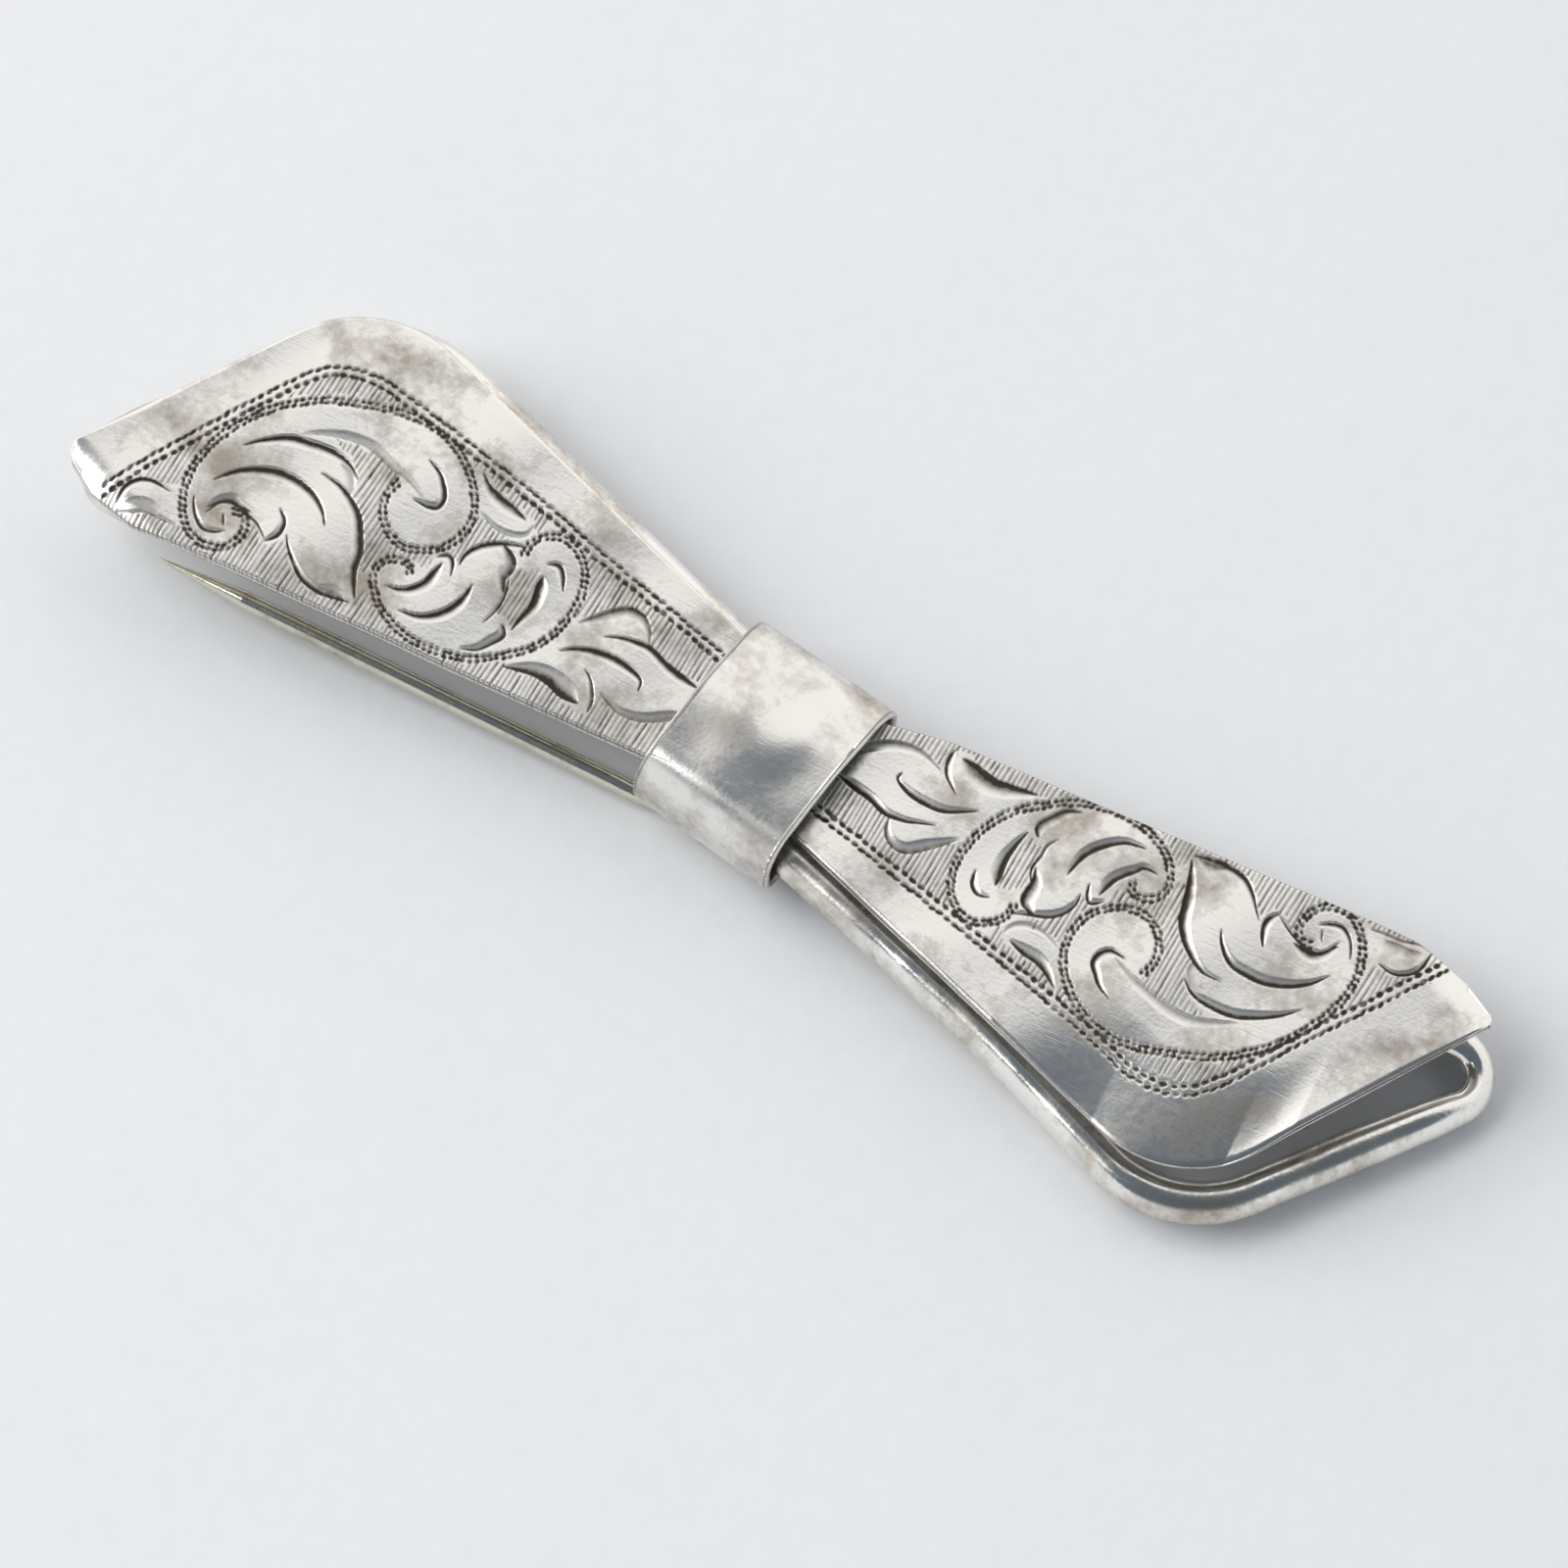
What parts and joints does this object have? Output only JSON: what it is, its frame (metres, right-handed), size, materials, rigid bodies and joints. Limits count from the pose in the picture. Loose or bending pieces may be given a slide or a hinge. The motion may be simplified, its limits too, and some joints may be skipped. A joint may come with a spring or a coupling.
{
  "type": "cravat clip",
  "caption": "Bow-shaped silver cravat clip: engraved spring leaves over a wire loop, a knot band round the waist and a hinged pin behind.",
  "frame": {"origin": "under the middle of the wire frame, level with the lowest point of the pin joint", "axes": "+X along the bow, towards the leaf that stands open; +Y across it; +Z out of the engraved face"},
  "size_m": [0.0722, 0.0243, 0.0055],
  "materials": {
    "frame_silver": "polished silver, worn and lightly tarnished",
    "sheet_silver": "hand-engraved silver, mottled patina",
    "dark_silver": "darkened silver",
    "pin_nickel": "yellowed nickel silver"
  },
  "bodies": {
    "clip_base": {"wire_frame": "frame_silver", "knot_band": "sheet_silver", "pin_joint": "dark_silver", "joint_rivet": "pin_nickel"},
    "leaf_left": {"face_leaf_left": "sheet_silver", "grip_stud_left": "dark_silver"},
    "leaf_right": {"face_leaf_right": "sheet_silver", "grip_stud_right": "dark_silver"},
    "pin": {"pin_stem": "pin_nickel"}
  },
  "joints": [
    {"name": "leaf_left_flex", "type": "hinge", "parent": "clip_base", "child": "leaf_left", "pos_m": [0, 0, 0.00375], "axis": [0, 1, 0], "range_deg": [0, 4], "stiffness_Nm_per_rad": 0.15},
    {"name": "leaf_right_flex", "type": "hinge", "parent": "clip_base", "child": "leaf_right", "pos_m": [0, 0, 0.00375], "axis": [0, -1, 0], "range_deg": [-2, 2.5], "stiffness_Nm_per_rad": 0.15},
    {"name": "pin_swing", "type": "hinge", "parent": "clip_base", "child": "pin", "pos_m": [-0.00175, -0.0031, 0.0005], "axis": [0, -1, 0], "range_deg": [0, 95]}
  ]
}
